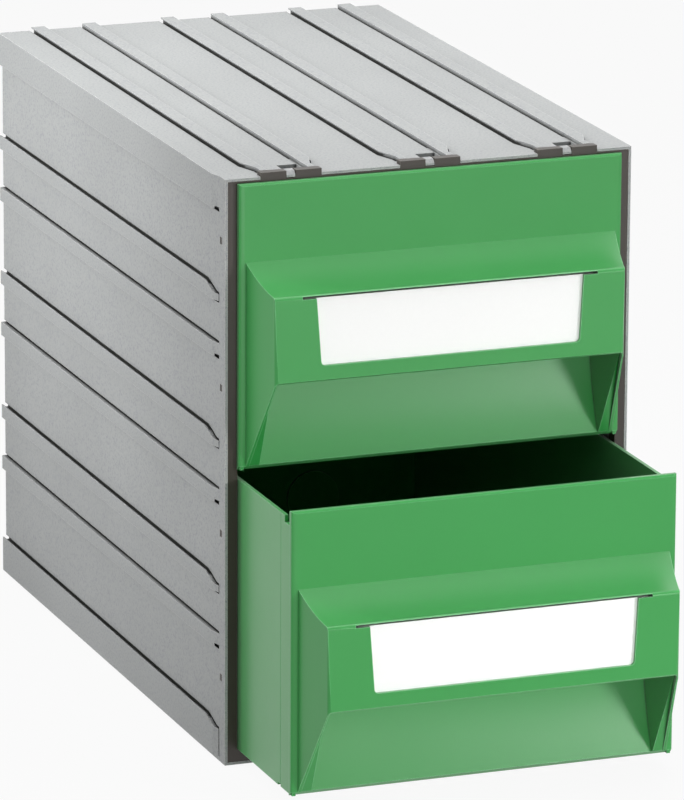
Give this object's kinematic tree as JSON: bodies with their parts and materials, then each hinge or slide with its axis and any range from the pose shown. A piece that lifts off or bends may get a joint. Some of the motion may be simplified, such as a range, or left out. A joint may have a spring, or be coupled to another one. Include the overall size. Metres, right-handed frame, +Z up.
{
  "type": "stacking drawer cabinet",
  "caption": "Plastic stacking cabinet: light casing with joining ribs, dark front frame and green drawers with hooded grips and label slots.",
  "frame": {"origin": "centre of the casing's underside, on the surface it stands on", "axes": "+X to the right seen from the front, +Y to the rear, +Z up; the drawers open towards -Y"},
  "size_m": [0.2522, 0.5364, 0.3522],
  "materials": {
    "casing_plastic": "fine speckled light grey",
    "frame_plastic": "dark brown, satin",
    "drawer_plastic": "smooth green, soft gloss",
    "label_card": "blank white card"
  },
  "bodies": {
    "casing": {"casing_shell": "casing_plastic", "rear_panel": "casing_plastic", "front_frame": "frame_plastic", "divider_shelf": "frame_plastic"},
    "upper_drawer": {"upper_tray": "drawer_plastic", "upper_front": "drawer_plastic", "upper_label": "label_card"},
    "lower_drawer": {"lower_tray": "drawer_plastic", "lower_front": "drawer_plastic", "lower_label": "label_card"}
  },
  "joints": [
    {"name": "upper_drawer_slide", "type": "slide", "parent": "casing", "child": "upper_drawer", "axis": [0, -1, 0], "range_m": [0, 0.302]},
    {"name": "lower_drawer_slide", "type": "slide", "parent": "casing", "child": "lower_drawer", "axis": [0, -1, 0], "range_m": [-0.088, 0.214]}
  ]
}
